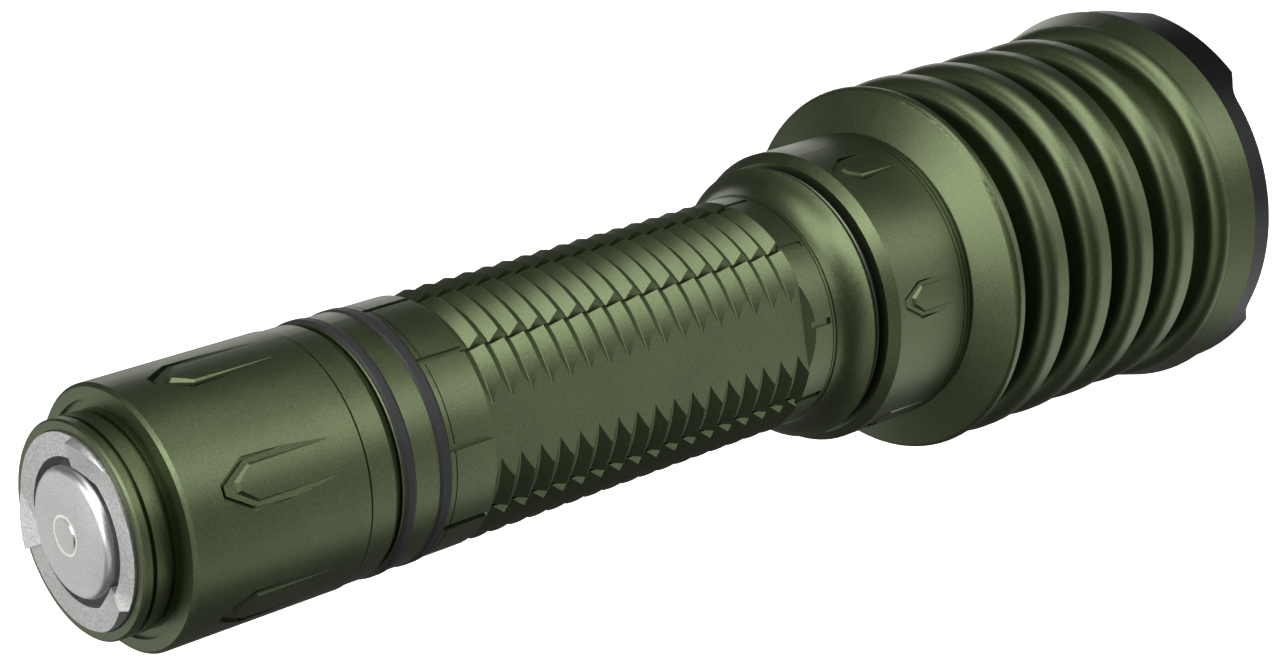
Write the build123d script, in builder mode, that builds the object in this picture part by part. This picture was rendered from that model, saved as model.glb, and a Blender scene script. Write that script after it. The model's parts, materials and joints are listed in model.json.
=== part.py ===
from build123d import *
import math
import os

# Tactical flashlight. All lengths are in millimetres and all angles in degrees.
#
# The torch lies along X and shines towards +X; Z is up. Every length along the torch is a station,
# counted from the tail lip. The origin is on the axis, in the middle of the ring clamp's seat.
# A bearing is an angle round the torch, from straight up towards -Y.

# --- driving dimensions -------------------------------------------------------------------------
SEAT_STATION = 36.0        # middle of the plain band that a ring clamp grips
CAP_R = 13.0               # tail cap
TUBE_R = 12.9              # battery tube
COLLAR_R = 16.3            # plain collar behind the fins
FIN_R = 20.9               # cooling fins
HEAD_R = 22.5              # front rim of the head

# Tail cap
LIP_R = 10.6               # neck that carries the lip
NECK_GROOVES = ((0.94, 1.39), (2.87, 3.39))
NECK_GROOVE_R = 10.15
SWITCH_SEAT_R = 9.6        # mouth that the switch ring fills
CAP_REAR = 3.8             # rear face of the cap's barrel
CAP_MOAT_R = 11.5          # square moat in that face, next to the neck
CAP_STEP = 23.5            # fine groove and step near the front
CAP_FRONT = 27.4
CAP_SKIRT_R = 12.05        # bore over the tube's thread
CAP_SKIRT_START = 11.3
MODULE_BORE_R = 10.5       # bore that holds the switch parts
MODULE_START = 4.6
BOARD_BORE_R = 11.15
BOARD_BORE_START = 9.3
ARROW_DEPTH = 0.38
CAP_ARROW_BEARING = 65.5

# Switch
RING_R = 9.5
RING_BORE_R = 7.2
RING_LUG_R = 6.58          # three lugs of the ring come close to the button
RING_FACE = -0.3           # flat face of the silver ring, just proud of the lip
TOOTH_PEAK = -1.15         # crest of each ramp on it, at the foot of a steep wall
TOOTH_COUNT = 3
TOOTH_BEARING = 2.3        # of a steep wall
TOOTH_SPAN = 36.0          # from that wall to the ramp's foot, at the rim
RAMP_FOOT = 5.47           # distance of the ramp's foot from the axis
BUTTON_R = 6.4
BUTTON_RIM = -1.1
BUTTON_CROWN = 0.35        # height of the dome over the rim
BUTTON_FLANGE_R = 7.6
BUTTON_FLANGE = (2.65, 3.2)
HUB_R = 3.0
HUB_END = 6.0
PLUNGER_END = 7.9
SPACER_START = 5.2         # stack of switch parts, front to front
SEAL_START = 5.8
HOLDER_START = 6.5
TACT_START = 7.3
BOARD_END = 10.5
CONTACT_R = 1.75
CONTACT_END = 3.0
INSULATOR_R = 2.0

# Thread between the cap and the tube
THREAD_PITCH = 1.25
THREAD_ROOT_R = 11.35
THREAD_CREST_R = 11.9
THREAD_START = 12.8
THREAD_TURNS = 7
TUBE_TAIL = 12.0
CAVITY_R = 10.85           # bore for the battery

# Tube
RING_A = (27.6, 28.9)      # rubber rings, from and to
RING_B = (31.7, 33.2)
RING_BED_R = 11.9
RIB_FIRST = 38.65          # crisp front edge of the plain band, then each rib's own
RIB_COUNT = 17
RIB_PITCH = 2.53
RIB_FRONT = 1.05           # run of each rib's steep front; the back climbs gently to the next edge
RIB_VALLEY_R = 12.2
GRIP_END = RIB_FIRST + RIB_COUNT * RIB_PITCH
FRONT_BAND_R = 12.75
FLAT_COUNT = 3
FLAT_FROM_AXIS = 11.9
FLAT_BEARING = 78.5        # the first flat faces the front
SLOT_COUNT = 9             # three slots to each flat, evenly spaced
SLOT_DEPTH = 0.45
SLOT_HALF = 0.36
FLANGE_START = 85.6
FLANGE_R = 15.15
FLANGE_END = 89.3
SPIGOT_R = 13.4
TUBE_FRONT = 98.0

# Head
COLLAR_REAR = 90.9
COLLAR_FRONT = 102.8
CONE_END = (105.3, 20.4)   # the first fin's straight back ends here, then rounds over
FIN_FIRST = 106.64         # front edge of the first fin
FIN_PITCH = 7.31
FIN_COUNT = 5
FIN_THICK = 3.4
FIN_ROUND = 1.8
GROOVE_FLOORS = (15.8, 15.8, 16.0, 16.9, 18.7)
BLOCK_R = 21.6             # rear of the front block
HEAD_FRONT = 145.3
SHELF = (104.5, 107.0)     # solid wall that the LED board sits on
HEAD_BORE_R = 13.5
WINDOW_BORE_R = 20.95
WINDOW_SEAT = 141.6
WIRE_RADIUS_FROM_AXIS = 7.5
SCREW_RADIUS_FROM_AXIS = 8.3

# Optics
VERTEX = 107.0             # of the reflector's parabola
FOCUS = 2.19
REFLECTOR_REAR = 109.3
REFLECTOR_WALL = 0.7
LENS_R = 19.4
LENS = (142.9, 144.9)

# Bezel
BEZEL_R = 22.1
BEZEL_MOUTH_R = 17.8
BEZEL_LEVEL = 148.3        # floor of its three wide gaps
BEZEL_FRONT = 150.9        # top of its three teeth
GAP_BEARING = 81.0
GAP_HALF = 14.2            # half the width of a gap
GAP_SLOPE = 2.4            # run of each sloping end

# Battery
CELL_R = 10.45
WRAP_R = 10.6
CELL = (15.7, 90.0)
TERMINAL_FRONT = 91.0

PROFILE = Plane(origin=(-SEAT_STATION, 0, 0), x_dir=(1, 0, 0), z_dir=(0, -1, 0))


def section(station):
    """The plane across the torch at a station; its own x is +Y and its own y is +Z."""
    return Plane(origin=(station - SEAT_STATION, 0, 0), x_dir=(0, 1, 0), z_dir=(1, 0, 0))


def turn(points, mode=Mode.ADD):
    """Turns a closed outline of (station, radius) points round the torch's axis."""
    with BuildSketch(PROFILE) as outline:
        with BuildLine():
            Polyline(points, close=True)
        make_face()
    revolve(outline.sketch, axis=Axis.X, mode=mode)


def band(start, end, r_in, r_out, mode=Mode.ADD):
    """A plain ring from one station to another."""
    turn([(start, r_in), (end, r_in), (end, r_out), (start, r_out)], mode)


def around(count, bearing):
    """Places round the axis, each with its own x pointing outwards."""
    return PolarLocations(0, count, start_angle=90 + bearing)


def cut_along(outline, start, end, count, bearing):
    """Cuts a prism along the torch; the outline is (radius, sideways) points."""
    with BuildSketch(section(start)) as prism:
        with around(count, bearing):
            Polygon(*outline, align=None)
    extrude(prism.sketch, amount=end - start, mode=Mode.SUBTRACT)


def outward(bearing):
    """Unit vector that points away from the axis at a bearing."""
    turned = math.radians(bearing)
    return Vector(0, -math.sin(turned), math.cos(turned))


def arrow_recesses(radius, tip, length, half_width, depth, bearing):
    """Six shallow arrow-shaped recesses that point to the tail; each fades out towards the head.

    In each, a deep narrow groove follows the outer outline and an island with sloping sides fills the middle.
    """
    shoulder = 1.15 * half_width
    outer = [
        (0, -0.28 * half_width), (0, 0.28 * half_width), (shoulder, half_width),
        (length, 0.86 * half_width), (length, -0.86 * half_width), (shoulder, -half_width),
    ]
    inset = 0.55 * shoulder
    inner = [
        (inset, 0.2 * half_width), (inset, -0.2 * half_width),
        (inset + 0.62 * shoulder, -0.7 * half_width), (length + 1, -0.66 * half_width),
        (length + 1, 0.66 * half_width), (inset + 0.62 * shoulder, 0.7 * half_width),
    ]
    width = 0.19 * half_width
    fade = (shoulder + 0.5 * (length - shoulder), 0.93 * half_width)
    upper = [
        (0, 0.28 * half_width), (shoulder, half_width), fade, (shoulder + 0.2, half_width - 0.8 * width),
        (width, 0.17 * half_width),
    ]
    moat = upper + [(along, -across) for along, across in upper[::-1]]
    rise = depth - 0.5 * (radius - math.sqrt(radius**2 - half_width**2))
    for number in range(6):
        normal = outward(bearing + 60 * number)
        along = Vector(length, 0, 0) + normal * rise
        start = normal * (radius - depth) + Vector(tip - SEAT_STATION, 0, 0)
        floor = Plane(origin=start, x_dir=along, z_dir=normal - along * (normal.dot(along) / along.dot(along)))
        with BuildSketch(floor) as arrow:
            Polygon(*outer, align=None)
        with BuildSketch(floor) as island:
            Polygon(*inner, align=None)
        recess = extrude(arrow.sketch, amount=2 * depth, mode=Mode.PRIVATE)
        stays = extrude(island.sketch, amount=1.2 * depth, taper=45, mode=Mode.PRIVATE)
        add(recess - stays, mode=Mode.SUBTRACT)
        with BuildSketch(floor) as deep_edge:
            Polygon(*moat, align=None)
        extrude(deep_edge.sketch, amount=-1.2 * depth, mode=Mode.SUBTRACT)


def coil(radius, wire, start, end, turns):
    """A coil spring round the axis."""
    height = end - start - 2 * wire
    first = start - SEAT_STATION + wire
    path = Helix(height / turns, height, radius, center=(first, 0, 0), direction=(1, 0, 0))
    with BuildSketch(Plane(origin=path @ 0, z_dir=path % 0)) as round_wire:
        Circle(wire)
    sweep(round_wire.sketch, path=path, is_frenet=True)


def outer_edges(builder, radius):
    """The round edges that are larger than a radius."""
    return builder.edges().filter_by(GeomType.CIRCLE).filter_by(lambda edge: edge.radius > radius)


def finish_part(builder, name):
    """Labels a finished piece and writes it."""
    builder.part.label = name
    export_step(builder.part, "parts/" + name + ".step")


os.makedirs("parts", exist_ok=True)

# --- tail cap -----------------------------------------------------------------------------------
with BuildPart() as tail_cap:
    neck = []
    for groove_start, groove_end in NECK_GROOVES:
        neck += [
            (groove_start, LIP_R), (groove_start + 0.03, NECK_GROOVE_R),
            (groove_end - 0.03, NECK_GROOVE_R), (groove_end, LIP_R),
        ]
    turn([(0, SWITCH_SEAT_R), (0, LIP_R - 0.2), (0.2, LIP_R)] + neck + [
        (CAP_REAR + 0.4, LIP_R), (CAP_REAR + 0.4, CAP_MOAT_R), (CAP_REAR, CAP_MOAT_R),
        (CAP_REAR, CAP_R - 0.35), (CAP_REAR + 0.35, CAP_R),
        (CAP_STEP, CAP_R), (CAP_STEP, CAP_R - 0.3), (CAP_STEP + 0.22, CAP_R - 0.3),
        (CAP_STEP + 0.3, CAP_R - 0.15), (CAP_FRONT - 0.9, CAP_R - 0.15),
        (CAP_FRONT, CAP_R - 0.65), (CAP_FRONT, CAP_SKIRT_R), (CAP_SKIRT_START, CAP_SKIRT_R),
        (CAP_SKIRT_START, BOARD_BORE_R), (BOARD_BORE_START, BOARD_BORE_R),
        (BOARD_BORE_START, MODULE_BORE_R), (MODULE_START, MODULE_BORE_R), (MODULE_START, SWITCH_SEAT_R),
    ])
    arrow_recesses(CAP_R, 7.85, 12.2, 2.6, ARROW_DEPTH, CAP_ARROW_BEARING)
finish_part(tail_cap, "tail_cap")

with BuildPart() as switch_ring:
    turn([
        (TOOTH_PEAK, RING_BORE_R), (TOOTH_PEAK, RING_R - 0.35), (RING_FACE, RING_R),
        (MODULE_START, RING_R), (MODULE_START, MODULE_BORE_R - 0.1), (SPACER_START, MODULE_BORE_R - 0.1),
        (SPACER_START, BUTTON_FLANGE_R + 0.3), (BUTTON_FLANGE[0] - 0.05, BUTTON_FLANGE_R + 0.3),
        (BUTTON_FLANGE[0] - 0.05, RING_BORE_R),
    ])
    reach = 2 * RING_R
    for number in range(TOOTH_COUNT):
        wall = TOOTH_BEARING + number * 360 / TOOTH_COUNT
        # A lug beside each wall, with a slanting flank.
        lug = [
            outward(wall) * (RING_BORE_R + 0.3), outward(wall) * RING_LUG_R, outward(wall + 6) * RING_LUG_R,
            outward(wall + 12) * RING_LUG_R, outward(wall + 32) * (RING_BORE_R + 0.05),
            outward(wall + 32) * (RING_BORE_R + 0.3), outward(wall + 16) * (RING_BORE_R + 0.6),
        ]
        with BuildSketch(section(TOOTH_PEAK)) as lug_outline:
            Polygon(*[(corner.Y, corner.Z) for corner in lug], align=None)
        extrude(lug_outline.sketch, amount=BUTTON_FLANGE[0] - 0.05 - TOOTH_PEAK)
    for number in range(TOOTH_COUNT):
        wall = TOOTH_BEARING + number * 360 / TOOTH_COUNT
        # Between the teeth the face is flat.
        flat_span = 360 / TOOTH_COUNT - TOOTH_SPAN
        corners = [outward(wall + TOOTH_SPAN + flat_span * part / 4) * reach for part in range(5)]
        with BuildSketch(section(TOOTH_PEAK - 1)) as gap:
            Polygon((0, 0), *[(corner.Y, corner.Z) for corner in corners], align=None)
        extrude(gap.sketch, amount=RING_FACE - TOOTH_PEAK + 1, mode=Mode.SUBTRACT)
        # Each tooth is a plane ramp whose foot crosses the ring slantwise.
        uphill = wall - 20.7
        crest_from_axis = RING_R * math.cos(math.radians(20.7))
        steepness = (RING_FACE - TOOTH_PEAK) / (crest_from_axis - RAMP_FOOT)
        ramp_plane = Plane(origin=(-SEAT_STATION, 0, 0), x_dir=(1, 0, 0), z_dir=outward(uphill + 90))
        over_ramp = [
            (RING_FACE, -reach), (RING_FACE, RAMP_FOOT), (RING_FACE - steepness * (reach - RAMP_FOOT), reach),
            (TOOTH_PEAK - 5, reach), (TOOTH_PEAK - 5, -reach),
        ]
        with BuildSketch(ramp_plane) as ramp:
            Polygon(*over_ramp, align=None)
        tooth_corners = [outward(wall + TOOTH_SPAN * part / 2) * reach for part in range(3)]
        with BuildSketch(section(TOOTH_PEAK - 6)) as tooth_sector:
            Polygon((0, 0), *[(corner.Y, corner.Z) for corner in tooth_corners], align=None)
        above = extrude(ramp.sketch, amount=reach, both=True, mode=Mode.PRIVATE)
        sector = extrude(tooth_sector.sketch, amount=8, mode=Mode.PRIVATE)
        add(above & sector, mode=Mode.SUBTRACT)
finish_part(switch_ring, "switch_ring")

with BuildPart() as button:
    with BuildSketch(PROFILE) as button_outline:
        with BuildLine():
            dome_edge = (BUTTON_RIM + 0.03, BUTTON_R - 0.9)
            rim = (BUTTON_RIM + 0.85, BUTTON_R)
            ThreePointArc(
                (BUTTON_RIM - BUTTON_CROWN, INSULATOR_R),
                (BUTTON_RIM - BUTTON_CROWN * 0.62, (INSULATOR_R + dome_edge[1]) / 2 + 0.3), dome_edge)
            ThreePointArc(dome_edge, (BUTTON_RIM + 0.3, BUTTON_R - 0.26), rim)
            Polyline(
                rim, (BUTTON_FLANGE[0], BUTTON_R), (BUTTON_FLANGE[0], BUTTON_FLANGE_R),
                (BUTTON_FLANGE[1], BUTTON_FLANGE_R), (BUTTON_FLANGE[1], HUB_R), (HUB_END, HUB_R),
                (HUB_END, 0), (CONTACT_END, 0), (CONTACT_END, INSULATOR_R),
                (BUTTON_RIM - BUTTON_CROWN, INSULATOR_R))
        make_face()
    revolve(button_outline.sketch, axis=Axis.X)
finish_part(button, "button")

with BuildPart() as contact_insulator:
    band(BUTTON_RIM - BUTTON_CROWN - 0.02, CONTACT_END, CONTACT_R, INSULATOR_R)
finish_part(contact_insulator, "contact_insulator")

with BuildPart() as button_contact:
    turn([
        (BUTTON_RIM - BUTTON_CROWN - 0.12, 0), (BUTTON_RIM - BUTTON_CROWN - 0.1, CONTACT_R - 0.25),
        (BUTTON_RIM - BUTTON_CROWN, CONTACT_R), (CONTACT_END, CONTACT_R), (CONTACT_END, 0),
    ])
finish_part(button_contact, "button_contact")

with BuildPart() as button_spring:
    coil(4.7, 0.2, BUTTON_FLANGE[1] + 0.02, SEAL_START - 0.02, 2.5)
finish_part(button_spring, "button_spring")

with BuildPart() as switch_spacer:
    band(SPACER_START, SEAL_START, 8.4, MODULE_BORE_R - 0.1)
finish_part(switch_spacer, "switch_spacer")

with BuildPart() as button_seal:
    turn([
        (SEAL_START, HUB_R + 0.3), (SEAL_START, 6.0), (SEAL_START + 0.4, 6.5), (SEAL_START + 0.4, 7.5),
        (SEAL_START, 8.0), (SEAL_START, MODULE_BORE_R - 0.05), (HOLDER_START, MODULE_BORE_R - 0.05),
        (HOLDER_START, HUB_R + 0.3),
    ])
finish_part(button_seal, "button_seal")

with BuildPart() as switch_holder:
    band(HOLDER_START, BOARD_BORE_START, 5.2, MODULE_BORE_R - 0.1)
finish_part(switch_holder, "switch_holder")

with BuildPart() as switch_plunger:
    band(HUB_END, PLUNGER_END, 0, 1.2)
finish_part(switch_plunger, "switch_plunger")

with BuildPart() as tact_switch:
    with BuildSketch(section(TACT_START)):
        RectangleRounded(6.0, 6.0, 0.6)
    extrude(amount=BOARD_BORE_START - TACT_START)
    band(TACT_START, BOARD_BORE_START - 0.1, 0, 1.35, Mode.SUBTRACT)
finish_part(tact_switch, "tact_switch")

with BuildPart() as switch_board:
    band(BOARD_BORE_START, BOARD_END, 0, BOARD_BORE_R - 0.05)
finish_part(switch_board, "switch_board")

with BuildPart() as tail_retainer:
    band(BOARD_END, CAP_SKIRT_START, 6.4, BOARD_BORE_R - 0.05)
    with BuildSketch(section(BOARD_END)) as spanner_holes:
        with PolarLocations(8.8, 2, start_angle=90 + CAP_ARROW_BEARING):
            Circle(0.7)
    extrude(spanner_holes.sketch, amount=CAP_SKIRT_START - BOARD_END, mode=Mode.SUBTRACT)
finish_part(tail_retainer, "tail_retainer")

with BuildPart() as tail_contact:
    band(CAP_SKIRT_START, TUBE_TAIL - 0.1, 10.2, 11.9)
finish_part(tail_contact, "tail_contact")

with BuildPart() as tail_spring:
    coil(4.2, 0.4, BOARD_END, CELL[0] - 0.05, 3.5)
finish_part(tail_spring, "tail_spring")

# --- battery ------------------------------------------------------------------------------------
with BuildPart() as battery_can:
    band(CELL[0], CELL[1], 0, CELL_R)
    fillet(battery_can.edges().filter_by(GeomType.CIRCLE), 0.6)
finish_part(battery_can, "battery_can")

with BuildPart() as battery_wrap:
    band(CELL[0] + 0.6, CELL[1] - 0.6, CELL_R, WRAP_R)
finish_part(battery_wrap, "battery_wrap")

with BuildPart() as battery_insulator:
    band(CELL[1], CELL[1] + 0.25, 3.6, 9.2)
finish_part(battery_insulator, "battery_insulator")

with BuildPart() as battery_terminal:
    band(CELL[1], TERMINAL_FRONT, 0, 3.4)
    fillet(battery_terminal.edges().sort_by(Axis.X)[-1], 0.3)
finish_part(battery_terminal, "battery_terminal")

# --- battery tube -------------------------------------------------------------------------------
with BuildPart() as body_tube:
    with BuildSketch(PROFILE) as tube_outline:
        with BuildLine():
            Polyline(
                (FLANGE_END, FLANGE_R - 0.15), (FLANGE_END, SPIGOT_R), (TUBE_FRONT, SPIGOT_R),
                (TUBE_FRONT, CAVITY_R), (TUBE_TAIL, CAVITY_R), (TUBE_TAIL, THREAD_ROOT_R),
                (THREAD_START, THREAD_CREST_R), (RING_A[0] - 0.1, THREAD_CREST_R),
                (RING_A[0] - 0.1, TUBE_R - 0.3), (RING_A[0] + 0.15, TUBE_R), (FLANGE_START, TUBE_R))
            ThreePointArc(
                (FLANGE_START, TUBE_R), (FLANGE_START + 1.9, TUBE_R + 0.65), (FLANGE_END - 0.35, FLANGE_R))
            Line((FLANGE_END - 0.35, FLANGE_R), (FLANGE_END, FLANGE_R - 0.15))
        make_face()
    revolve(tube_outline.sketch, axis=Axis.X)
    # Tail thread, drawn as rings; its crests run clear inside the cap's skirt.
    for number in range(THREAD_TURNS):
        root = THREAD_START + THREAD_PITCH * (number + 0.5)
        turn([
            (root - 0.22, THREAD_ROOT_R), (root + 0.22, THREAD_ROOT_R),
            (root + 0.5, THREAD_CREST_R + 0.05), (root - 0.5, THREAD_CREST_R + 0.05),
        ], Mode.SUBTRACT)
    band(23.4, 24.9, THREAD_ROOT_R, TUBE_R, Mode.SUBTRACT)
    for ring_start, ring_end in (RING_A, RING_B):
        band(ring_start, ring_end, RING_BED_R, TUBE_R + 1, Mode.SUBTRACT)
    # Ribs: a steep front after each crisp edge, a narrow valley and a gentle climb to the next one.
    for number in range(RIB_COUNT):
        edge = RIB_FIRST + RIB_PITCH * number
        turn([
            (edge, TUBE_R + 1), (edge, TUBE_R), (edge + RIB_FRONT, RIB_VALLEY_R),
            (edge + RIB_FRONT + 0.12, RIB_VALLEY_R), (edge + RIB_PITCH, TUBE_R), (edge + RIB_PITCH, TUBE_R + 1),
        ], Mode.SUBTRACT)
    band(GRIP_END, FLANGE_START, FRONT_BAND_R, TUBE_R + 1, Mode.SUBTRACT)
    # Three milled flats, each with a sloping front end.
    flat_outline = [
        (RIB_FIRST, FLAT_FROM_AXIS), (GRIP_END, FLAT_FROM_AXIS), (GRIP_END + 1.2, TUBE_R + 0.05),
        (GRIP_END + 1.2, TUBE_R + 1), (RIB_FIRST, TUBE_R + 1),
    ]
    for number in range(FLAT_COUNT):
        across = outward(FLAT_BEARING + 90 + number * 360 / FLAT_COUNT)
        with BuildSketch(Plane(origin=(-SEAT_STATION, 0, 0), x_dir=(1, 0, 0), z_dir=across)) as flat:
            Polygon(*flat_outline, align=None)
        extrude(flat.sketch, amount=6, both=True, mode=Mode.SUBTRACT)
    # Lengthwise slots: short ones in the plain bands, and one on each side of every flat through the ribs.
    for slot_start, slot_end in ((RING_B[1], RIB_FIRST), (GRIP_END, GRIP_END + 3.2)):
        cut_along(
            [(TUBE_R - SLOT_DEPTH, -SLOT_HALF), (TUBE_R + 0.1, -SLOT_HALF), (TUBE_R + 0.1, SLOT_HALF),
             (TUBE_R - SLOT_DEPTH, SLOT_HALF)],
            slot_start, slot_end, SLOT_COUNT, FLAT_BEARING)
    rib_slot = [(11.8, -0.17), (TUBE_R + 0.3, -0.17), (TUBE_R + 0.3, 0.17), (11.8, 0.17)]
    # The ribs' ends slope down to each slot on the side away from the flat.
    bevel_up = [(RIB_VALLEY_R, 0.1), (TUBE_R + 0.5, 0.1), (TUBE_R + 0.5, 1.6)]
    bevel_down = [(radius, -across) for radius, across in bevel_up]
    for side, bevel in ((-40, bevel_down), (40, bevel_up)):
        cut_along(rib_slot, RIB_FIRST, GRIP_END, FLAT_COUNT, FLAT_BEARING + side)
        cut_along(bevel, RIB_FIRST, GRIP_END, FLAT_COUNT, FLAT_BEARING + side)
    for station, radius in ((33.75, TUBE_R), (FLANGE_START - 0.5, FRONT_BAND_R)):
        band(station, station + 0.13, radius - 0.12, TUBE_R + 1, Mode.SUBTRACT)
finish_part(body_tube, "body_tube")

with BuildPart() as tail_oring:
    with BuildSketch(PROFILE) as tail_oring_section:
        with Locations((24.15, THREAD_ROOT_R + 0.33)):
            Ellipse(0.6, 0.33)
    revolve(tail_oring_section.sketch, axis=Axis.X)
finish_part(tail_oring, "tail_oring")

for ring_name, (ring_start, ring_end) in (("rear_grip_ring", RING_A), ("front_grip_ring", RING_B)):
    with BuildPart() as grip_ring:
        band(ring_start, ring_end, RING_BED_R + 0.03, TUBE_R + 0.15)
        fillet(outer_edges(grip_ring, TUBE_R), 0.3)
    finish_part(grip_ring, ring_name)

with BuildPart() as neck_ring:
    turn([
        (FLANGE_END + 0.3, SPIGOT_R), (FLANGE_END + 0.6, SPIGOT_R), (FLANGE_END + 0.6, 14.85),
        (FLANGE_END + 0.45, 14.95), (FLANGE_END + 0.3, 14.85),
    ])
finish_part(neck_ring, "neck_ring")

with BuildPart() as neck_oring:
    band(FLANGE_END + 0.6, COLLAR_REAR, SPIGOT_R + 0.03, 14.1)
    fillet(outer_edges(neck_oring, 14), 0.2)
finish_part(neck_oring, "neck_oring")

# --- head ---------------------------------------------------------------------------------------
with BuildPart() as head_housing:
    with BuildSketch(PROFILE) as head_outline:
        with BuildLine():
            Polyline(
                (HEAD_FRONT, WINDOW_BORE_R), (WINDOW_SEAT, WINDOW_BORE_R), (WINDOW_SEAT, 18.3),
                (133.0, 16.1), (SHELF[1], 11.2), (SHELF[1], 0), (SHELF[0], 0), (SHELF[0], HEAD_BORE_R),
                (COLLAR_REAR, HEAD_BORE_R), (COLLAR_REAR, 15.3), (COLLAR_REAR + 0.95, COLLAR_R),
                (COLLAR_FRONT, COLLAR_R), (COLLAR_FRONT + 0.2, COLLAR_R - 0.3),
                (COLLAR_FRONT + 0.4, COLLAR_R - 0.3), (COLLAR_FRONT + 0.5, COLLAR_R), CONE_END)
            ThreePointArc(CONE_END, (CONE_END[0] + 0.3, FIN_R - 0.12), (CONE_END[0] + 0.8, FIN_R))
            Polyline(
                (CONE_END[0] + 0.8, FIN_R), (138.0, FIN_R), (138.0, BLOCK_R), (141.5, BLOCK_R),
                (HEAD_FRONT - 0.15, HEAD_R), (HEAD_FRONT, HEAD_R - 0.15), (HEAD_FRONT, WINDOW_BORE_R))
        make_face()
    revolve(head_outline.sketch, axis=Axis.X)
    # Cooling grooves: each runs from one fin's crisp front edge to the next one's round back.
    for number in range(FIN_COUNT):
        edge = FIN_FIRST + FIN_PITCH * number
        next_back = edge + FIN_PITCH - FIN_THICK
        next_r = BLOCK_R if number == FIN_COUNT - 1 else FIN_R
        floor = GROOVE_FLOORS[number]
        with BuildSketch(PROFILE) as cooling_groove:
            with BuildLine():
                shoulder = (next_back, next_r - FIN_ROUND)
                crown = (next_back + FIN_ROUND, next_r)
                bulge = FIN_ROUND * (1 - math.sqrt(0.5))
                Polyline(
                    (crown[0], next_r + 3), (edge, next_r + 3), (edge, floor), (next_back, floor), shoulder)
                ThreePointArc(shoulder, (next_back + bulge, next_r - bulge), crown)
                Line(crown, (crown[0], next_r + 3))
            make_face()
        revolve(cooling_groove.sketch, axis=Axis.X, mode=Mode.SUBTRACT)
        band(edge - 0.5, edge, FIN_R - 0.12, FIN_R + 3, Mode.SUBTRACT)
    for station in (COLLAR_FRONT - 1.1, COLLAR_FRONT - 0.5):
        band(station, station + 0.13, COLLAR_R - 0.12, COLLAR_R + 1, Mode.SUBTRACT)
    arrow_recesses(COLLAR_R, 92.7, 8.0, 2.1, 0.34, FLAT_BEARING)
    with BuildSketch(section(SHELF[0])) as shelf_holes:
        with PolarLocations(WIRE_RADIUS_FROM_AXIS, 2):
            Circle(0.9)
    extrude(shelf_holes.sketch, amount=SHELF[1] - SHELF[0], mode=Mode.SUBTRACT)
    with BuildSketch(section(SHELF[0] + 0.6)) as screw_holes:
        with PolarLocations(SCREW_RADIUS_FROM_AXIS, 2, start_angle=90):
            Circle(0.8)
    extrude(screw_holes.sketch, amount=SHELF[1] - SHELF[0] - 0.6, mode=Mode.SUBTRACT)
finish_part(head_housing, "head_housing")

with BuildPart() as driver_housing:
    band(TUBE_FRONT + 0.3, SHELF[0], 12.1, HEAD_BORE_R - 0.05)
    band(TUBE_FRONT + 0.3, TUBE_FRONT + 0.6, 11.0, HEAD_BORE_R - 0.05)
finish_part(driver_housing, "driver_housing")

with BuildPart() as driver_board:
    band(TUBE_FRONT + 0.6, TUBE_FRONT + 1.8, 0, 12.05)
finish_part(driver_board, "driver_board")

with BuildPart() as driver_parts:
    with BuildSketch(section(TUBE_FRONT + 1.8)):
        with Locations((4.5, 4.0)):
            RectangleRounded(5.0, 5.0, 0.4)
        with Locations((-4.5, 4.2)):
            Circle(2.1)
        with Locations((-3.6, -4.5), (0.6, -5.6)):
            Rectangle(2.8, 1.6)
        with Locations((5.2, -4.4)):
            Rectangle(3.2, 3.2)
    extrude(amount=2.4)
finish_part(driver_parts, "driver_parts")

with BuildPart() as front_spring:
    coil(2.6, 0.35, TERMINAL_FRONT + 0.05, TUBE_FRONT + 0.6, 5)
finish_part(front_spring, "front_spring")

with BuildPart() as led_board:
    with BuildSketch(section(SHELF[1])):
        Circle(10.3)
        with PolarLocations(WIRE_RADIUS_FROM_AXIS, 2):
            Circle(0.9, mode=Mode.SUBTRACT)
        with PolarLocations(SCREW_RADIUS_FROM_AXIS, 2, start_angle=90):
            Circle(1.1, mode=Mode.SUBTRACT)
    extrude(amount=1.2)
finish_part(led_board, "led_board")

with BuildPart() as board_screws:
    with BuildSketch(section(SHELF[1] + 1.2)) as screw_heads:
        with PolarLocations(SCREW_RADIUS_FROM_AXIS, 2, start_angle=90):
            Circle(1.7)
    extrude(screw_heads.sketch, amount=1.0)
    with BuildSketch(section(SHELF[0] + 0.6)) as screw_shanks:
        with PolarLocations(SCREW_RADIUS_FROM_AXIS, 2, start_angle=90):
            Circle(0.8)
    extrude(screw_shanks.sketch, amount=SHELF[1] - SHELF[0] + 0.6)
    with BuildSketch(section(SHELF[1] + 2.2)) as screw_slots:
        with PolarLocations(SCREW_RADIUS_FROM_AXIS, 2, start_angle=90):
            Rectangle(0.4, 3.6)
            Rectangle(3.6, 0.4)
    extrude(screw_slots.sketch, amount=-0.5, mode=Mode.SUBTRACT)
finish_part(board_screws, "board_screws")

with BuildPart() as led_wires:
    with BuildSketch(section(TUBE_FRONT + 1.8)) as wires:
        with PolarLocations(WIRE_RADIUS_FROM_AXIS, 2):
            Circle(0.5)
    extrude(wires.sketch, amount=SHELF[1] + 1.4 - TUBE_FRONT - 1.8)
finish_part(led_wires, "led_wires")

with BuildPart() as led_package:
    with BuildSketch(section(SHELF[1] + 1.2)):
        RectangleRounded(5.0, 5.0, 0.3)
    extrude(amount=0.8)
finish_part(led_package, "led_package")

with BuildPart() as led_dome:
    band(SHELF[1] + 2.0, SHELF[1] + 3.3, 0, 2.0)
    fillet(led_dome.edges().filter_by(GeomType.CIRCLE).sort_by(Axis.X)[-1], 1.2)
finish_part(led_dome, "led_dome")

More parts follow.
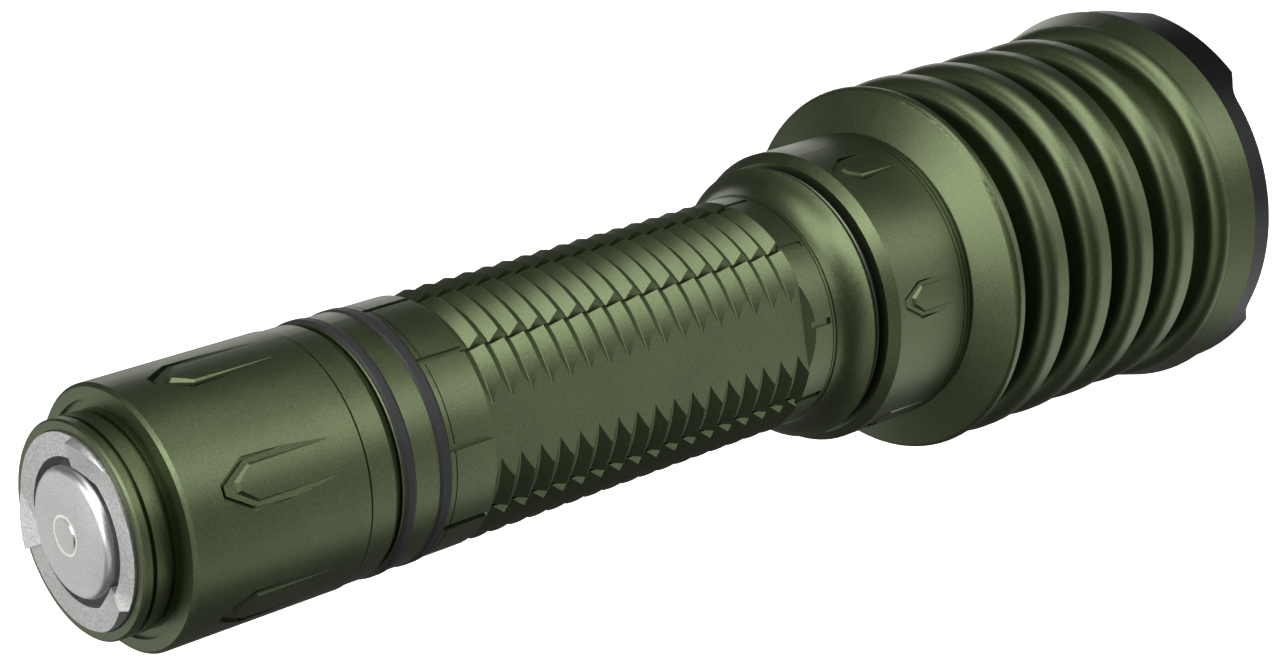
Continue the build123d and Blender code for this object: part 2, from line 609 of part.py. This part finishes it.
with BuildPart() as centring_ring:
    band(SHELF[1] + 1.2, REFLECTOR_REAR, 3.8, 6.0)
finish_part(centring_ring, "centring_ring")


def parabola_radius(station):
    """Radius of the reflecting surface at a station."""
    return math.sqrt(4 * FOCUS * (station - VERTEX))


with BuildPart() as reflector:
    with BuildSketch(PROFILE) as reflector_outline:
        with BuildLine():
            mirror_front = LENS[0] - 0.6
            steps = 8
            span = mirror_front - REFLECTOR_REAR
            bowl = [REFLECTOR_REAR + span * (step / steps) ** 2 for step in range(steps + 1)]
            inside = [(station, parabola_radius(station)) for station in bowl]
            outside = [(station, radius + REFLECTOR_WALL) for station, radius in inside[1:-1]]
            Spline(inside)
            Polyline(
                inside[-1], (mirror_front, 19.4), (WINDOW_SEAT, 19.4), (WINDOW_SEAT, 18.2), outside[-1])
            Spline(outside[::-1])
            Polyline(
                outside[0], (outside[0][0], 7.0), (REFLECTOR_REAR, 7.0), inside[0])
        make_face()
    revolve(reflector_outline.sketch, axis=Axis.X)
finish_part(reflector, "reflector")

with BuildPart() as lens_gasket:
    band(LENS[0] - 0.6, LENS[0], 18.0, LENS_R)
finish_part(lens_gasket, "lens_gasket")

with BuildPart() as lens:
    band(LENS[0], LENS[1], 0, LENS_R)
    chamfer(lens.edges().filter_by(GeomType.CIRCLE), 0.15)
finish_part(lens, "lens")

with BuildPart() as front_oring:
    band(LENS[1], LENS[1] + 0.7, BEZEL_MOUTH_R + 0.4, LENS_R - 0.1)
    fillet(front_oring.edges().filter_by(GeomType.CIRCLE), 0.2)
finish_part(front_oring, "front_oring")

with BuildPart() as bezel:
    turn([
        (LENS[1] - 2.6, LENS_R + 0.1), (LENS[1] - 2.6, WINDOW_BORE_R - 0.05), (HEAD_FRONT, WINDOW_BORE_R - 0.05),
        (HEAD_FRONT, BEZEL_R), (BEZEL_FRONT - 0.4, BEZEL_R), (BEZEL_FRONT, BEZEL_R - 0.4),
        (BEZEL_FRONT, BEZEL_MOUTH_R + 1.2), (LENS[1] + 1.2, BEZEL_MOUTH_R), (LENS[1] + 0.7, BEZEL_MOUTH_R),
        (LENS[1] + 0.7, LENS_R + 0.1),
    ])
    # Three wide gaps, each milled straight across the rim with sloping, rounded ends.
    gap_outline = [
        (BEZEL_LEVEL, -GAP_HALF + GAP_SLOPE / 2), (BEZEL_LEVEL, GAP_HALF - GAP_SLOPE / 2),
        (BEZEL_FRONT, GAP_HALF + GAP_SLOPE / 2), (BEZEL_FRONT + 1, GAP_HALF + 2 * GAP_SLOPE),
        (BEZEL_FRONT + 1, -GAP_HALF - 2 * GAP_SLOPE), (BEZEL_FRONT, -GAP_HALF - GAP_SLOPE / 2),
    ]
    for number in range(3):
        direction = outward(GAP_BEARING + 120 * number)
        with BuildSketch(Plane(origin=(-SEAT_STATION, 0, 0), x_dir=(1, 0, 0), z_dir=direction)) as rim_gap:
            Polygon(*gap_outline, align=None)
            feet, crests = rim_gap.vertices().group_by(Axis.X)[:2]
            fillet(feet + crests, 2.2)
        extrude(rim_gap.sketch, amount=BEZEL_R + 2, mode=Mode.SUBTRACT)
finish_part(bezel, "bezel")
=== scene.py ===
"""Looks for the tactical flashlight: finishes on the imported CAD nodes, a pale studio and the camera.

Everything is in metres in the CAD frame: +X runs along the beam from tail to head, +Z is up.
"""

import json

import bpy
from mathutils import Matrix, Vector


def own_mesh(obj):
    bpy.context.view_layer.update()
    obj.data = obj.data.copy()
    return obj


MM = 0.001

# The Mix node's sockets share names, so its colour inputs and output are reached by number
MIX_FACTOR, MIX_FIRST, MIX_SECOND, MIX_RESULT = 0, 6, 7, 2

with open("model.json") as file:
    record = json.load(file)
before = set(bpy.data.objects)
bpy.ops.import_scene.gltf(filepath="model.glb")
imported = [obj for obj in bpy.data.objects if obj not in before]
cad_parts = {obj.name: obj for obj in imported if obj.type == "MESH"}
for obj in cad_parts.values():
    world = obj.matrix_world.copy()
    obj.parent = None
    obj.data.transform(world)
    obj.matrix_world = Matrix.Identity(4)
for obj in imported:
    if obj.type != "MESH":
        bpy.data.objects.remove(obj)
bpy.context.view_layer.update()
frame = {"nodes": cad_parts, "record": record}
nodes = frame["nodes"]


class Finish:
    """A node material, built by short calls. Textures lie in object space, so grain has a real size."""

    def __init__(self, name, **uniform):
        self.material = bpy.data.materials.new(name)
        self.material.use_nodes = True
        self.tree = self.material.node_tree
        self.shader = self.tree.nodes["Principled BSDF"]
        for socket, value in uniform.items():
            self.shader.inputs[socket.replace("_", " ")].default_value = value
        self.place = self.tree.nodes.new("ShaderNodeTexCoord").outputs["Object"]

    def node(self, kind, links=(), **settings):
        """Adds a node. links pairs an input with what feeds it: a socket, or a plain value."""
        made = self.tree.nodes.new("ShaderNode" + kind)
        for setting, value in settings.items():
            setattr(made, setting, value)
        for socket, source in dict(links).items():
            if isinstance(source, bpy.types.NodeSocket):
                self.tree.links.new(source, made.inputs[socket])
            else:
                made.inputs[socket].default_value = source
        return made

    def noise(self, size, detail=2.0):
        """Noise whose features are about size metres across."""
        links = {"Vector": self.place, "Scale": 1 / size, "Detail": detail}
        return self.node("TexNoise", links).outputs["Fac"]

    def ramp(self, value, *stops):
        """Maps a 0 to 1 value through (position, grey or colour) stops."""
        made = self.node("ValToRGB", {"Fac": value})
        elements = made.color_ramp.elements
        while len(elements) < len(stops):
            elements.new(0.5)
        for element, (position, colour) in zip(elements, stops):
            element.position = position
            element.color = (*colour, 1) if isinstance(colour, tuple) else (colour, colour, colour, 1)
        return made.outputs["Color"]

    def paint(self, socket, source):
        """Feeds one of the shader's own inputs."""
        self.tree.links.new(source, self.shader.inputs[socket])

    def bump(self, height, distance):
        """Raises the surface by height times distance metres."""
        return self.node("Bump", {"Height": height, "Distance": distance}).outputs["Normal"]


def shade(colour, factor):
    """The colour made lighter or darker by a factor."""
    return tuple(channel * factor for channel in colour)


CLOUD_SIZE = 9 * MM  # faint patches in the dye of an anodised surface
PATCH_GRAINS = 25  # patches of tone on a plain surface, in grains


def anodised(name, colour, roughness, grain=0.16 * MM, depth=0.012 * MM, coat=0.35):
    """Bead-blasted aluminium under a dyed oxide: fine grain, faint cloudiness in the dye."""
    made = Finish(name, Metallic=1.0, Coat_Weight=coat, Coat_Roughness=0.38, Coat_IOR=1.6)
    clouds = made.noise(CLOUD_SIZE, detail=3)
    specks = made.noise(grain, detail=1)
    base = made.ramp(clouds, (0.3, shade(colour, 0.92)), (0.7, shade(colour, 1.08)))
    fleck = made.ramp(specks, (0.3, 0.8), (0.72, 1.22))
    mixed = {MIX_FIRST: base, MIX_SECOND: fleck, MIX_FACTOR: 1.0}
    tint = made.node("Mix", mixed, data_type="RGBA", blend_type="MULTIPLY")
    made.paint("Base Color", tint.outputs[MIX_RESULT])
    made.paint("Roughness", made.ramp(specks, (0.2, roughness - 0.04), (0.8, roughness + 0.05)))
    made.paint("Normal", made.bump(specks, depth))
    return made.material


def plain(name, colour, roughness, metallic=0.0, grain=0.3 * MM, depth=0.01 * MM, spread=0.08, **uniform):
    """A moulded, turned or plated surface: one colour with a fine grain in tone, gloss and height."""
    made = Finish(name, Metallic=metallic, **uniform)
    specks = made.noise(grain, detail=2)
    patches = made.noise(grain * PATCH_GRAINS, detail=2)
    darker, lighter = shade(colour, 1 - spread), shade(colour, 1 + spread)
    made.paint("Base Color", made.ramp(patches, (0.3, darker), (0.7, lighter)))
    made.paint("Roughness", made.ramp(specks, (0.2, roughness * 0.88), (0.8, min(1.0, roughness * 1.12))))
    made.paint("Normal", made.bump(specks, depth))
    return made.material


finishes = {
    "green_anodised": anodised("green_anodised", (0.109, 0.140, 0.064), 0.40),
    "black_anodised": anodised("black_anodised", (0.022, 0.022, 0.024), 0.38, coat=0.2),
    "blasted_silver": anodised("blasted_silver", (0.60, 0.60, 0.59), 0.46, grain=0.2 * MM, depth=0.02 * MM),
    "button_silver": anodised("button_silver", (0.71, 0.71, 0.70), 0.36, grain=0.1 * MM, depth=0.004 * MM),
    "contact_silver": plain("contact_silver", (0.75, 0.75, 0.73), 0.22, metallic=1.0),
    # neck_silver is darkened from silver to a dark green-grey: painted shade for the gap the neck ring sits
    # in
    "neck_silver": plain("neck_silver", (0.15, 0.17, 0.13), 0.42, metallic=1.0),
    "black_rubber": plain("black_rubber", (0.020, 0.020, 0.022), 0.55, grain=0.15 * MM, depth=0.008 * MM),
    "grey_silicone": plain("grey_silicone", (0.2, 0.2, 0.21), 0.6),
    "dark_plastic": plain("dark_plastic", (0.035, 0.035, 0.036), 0.5),
    "board_green": plain("board_green", (0.012, 0.08, 0.03), 0.3),
    "board_parts": plain("board_parts", (0.03, 0.03, 0.032), 0.45),
    "board_white": plain("board_white", (0.72, 0.72, 0.70), 0.4),
    "plunger_white": plain("plunger_white", (0.7, 0.7, 0.67), 0.4),
    "housing_metal": plain("housing_metal", (0.55, 0.55, 0.55), 0.35, metallic=1.0),
    "brass_contact": plain("brass_contact", (0.68, 0.5, 0.22), 0.28, metallic=1.0),
    "spring_gold": plain("spring_gold", (0.75, 0.55, 0.25), 0.25, metallic=1.0),
    "spring_steel": plain("spring_steel", (0.5, 0.5, 0.51), 0.28, metallic=1.0),
    "wire_red": plain("wire_red", (0.42, 0.03, 0.02), 0.4),
    "led_ceramic": plain("led_ceramic", (0.8, 0.8, 0.77), 0.5),
    "led_phosphor": plain("led_phosphor", (0.8, 0.62, 0.12), 0.12, Coat_Weight=1.0),
    "mirror": plain("mirror", (0.88, 0.88, 0.87), 0.04, metallic=1.0, spread=0.01, depth=0.0002 * MM),
    "lens_glass": plain("lens_glass", (0.95, 0.98, 1.0), 0.02, Transmission_Weight=1.0, IOR=1.5, depth=0.0),
    "cell_steel": plain("cell_steel", (0.55, 0.55, 0.54), 0.25, metallic=1.0),
    "cell_wrap": plain("cell_wrap", (0.02, 0.02, 0.024), 0.28),
}

for entry in frame["record"]["subparts"]:
    piece = nodes[entry["node"]]
    piece.data.materials.clear()
    piece.data.materials.append(finishes[entry["material_slot"]])

# The button's return spring gets a mesh of its own; in the torch it shortens towards its fixed front end as
# the button goes in
spring = nodes["button_spring"]
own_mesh(spring)


# Studio: the torch hangs in front of a white backdrop and over a pale floor that neither lights nor shades it
CAMERA_PLACE = Vector((-0.16550, -0.21849, 0.11429))
CAMERA_AIM = Vector((0.03302, 0.0, 0.00151))
CAMERA_LENS, CAMERA_SENSOR = 84.375, 36.0  # in millimetres, as Blender takes them
CAMERA_NEAR, CAMERA_FAR = 0.01, 50

camera_data = bpy.data.cameras.new("camera")
camera_data.lens, camera_data.sensor_width = CAMERA_LENS, CAMERA_SENSOR
camera_data.clip_start, camera_data.clip_end = CAMERA_NEAR, CAMERA_FAR
camera = bpy.data.objects.new("camera", camera_data)
bpy.context.scene.collection.objects.link(camera)
camera.location = CAMERA_PLACE
camera.rotation_mode = "QUATERNION"
camera.rotation_quaternion = (CAMERA_AIM - CAMERA_PLACE).to_track_quat("-Z", "Y")
bpy.context.scene.camera = camera


def softbox(name, towards, distance, size, power):
    """An area light that shines on the torch from direction towards. The camera doesn't see it."""
    data = bpy.data.lights.new(name, "AREA")
    data.shape, data.size, data.size_y = "RECTANGLE", size[0], size[1]
    data.energy = power
    light = bpy.data.objects.new(name, data)
    bpy.context.scene.collection.objects.link(light)
    light.location = CAMERA_AIM + Vector(towards).normalized() * distance
    light.rotation_mode = "QUATERNION"
    light.rotation_quaternion = (CAMERA_AIM - light.location).to_track_quat("-Z", "Y")
    light.visible_camera = False


softbox("key", (0.42, -0.62, 0.58), 0.7, (0.40, 0.40), 0.92)
softbox("head_key", (0.66, -0.50, 0.32), 0.8, (0.36, 0.50), 0.50)
softbox("top", (-0.15, -0.25, 0.95), 0.6, (0.50, 0.50), 2.3)
softbox("side_fill", (0.64, -0.76, -0.02), 0.7, (0.30, 0.30), 0.14)
softbox("front_fill", (0.80, -0.50, -0.48), 0.7, (0.70, 0.50), 1.08)
softbox("back", (0.68, 0.72, 0.10), 0.8, (0.60, 0.34), 0.7)
softbox("tail_key", (-0.95, 0.04, 0.20), 0.6, (0.44, 0.44), 2.1)
softbox("rear_top", (-0.74, -0.30, 0.62), 0.6, (0.28, 0.28), 1.0)
softbox("rear_low", (-0.76, -0.50, -0.43), 0.6, (0.40, 0.40), 0.28)
softbox("tail_fill", (-0.50, 0.75, -0.43), 0.6, (0.70, 0.70), 0.85)

AMBIENT_FILL, BACKDROP_GLOW = 0.09, 1.0  # what reaches the torch, and what the camera sees

world = bpy.data.worlds.new("studio")
world.use_nodes = True
backdrop = world.node_tree.nodes["Background"]
backdrop.inputs["Color"].default_value = (1, 1, 1, 1)
ray = world.node_tree.nodes.new("ShaderNodeLightPath")
glow = world.node_tree.nodes.new("ShaderNodeMapRange")
glow.inputs["To Min"].default_value = AMBIENT_FILL
glow.inputs["To Max"].default_value = BACKDROP_GLOW
world.node_tree.links.new(ray.outputs["Is Camera Ray"], glow.inputs["Value"])
world.node_tree.links.new(glow.outputs["Result"], backdrop.inputs["Strength"])
bpy.context.scene.world = world

FLOOR_DROP = 60 * MM
FLOOR_SIZE = 12
FLOOR_PATCH = 0.5
FLOOR_GLOW = 0.95

bpy.ops.mesh.primitive_plane_add(size=FLOOR_SIZE, location=(0, 0, -FLOOR_DROP))
floor = bpy.context.object
floor.name = "floor"
floor_finish = Finish("floor", Roughness=0.9)
floor_finish.paint("Base Color", floor_finish.ramp(
    floor_finish.noise(FLOOR_PATCH), (0.3, 0.93), (0.7, 0.95)))
floor_finish.paint("Emission Color", floor_finish.ramp(
    floor_finish.noise(FLOOR_PATCH), (0.3, 0.99), (0.7, 1.0)))
floor_finish.shader.inputs["Emission Strength"].default_value = FLOOR_GLOW
floor.data.materials.append(floor_finish.material)
floor.visible_glossy = False
floor.visible_diffuse = False
floor.visible_shadow = False

bpy.context.scene.view_settings.view_transform = "Standard"
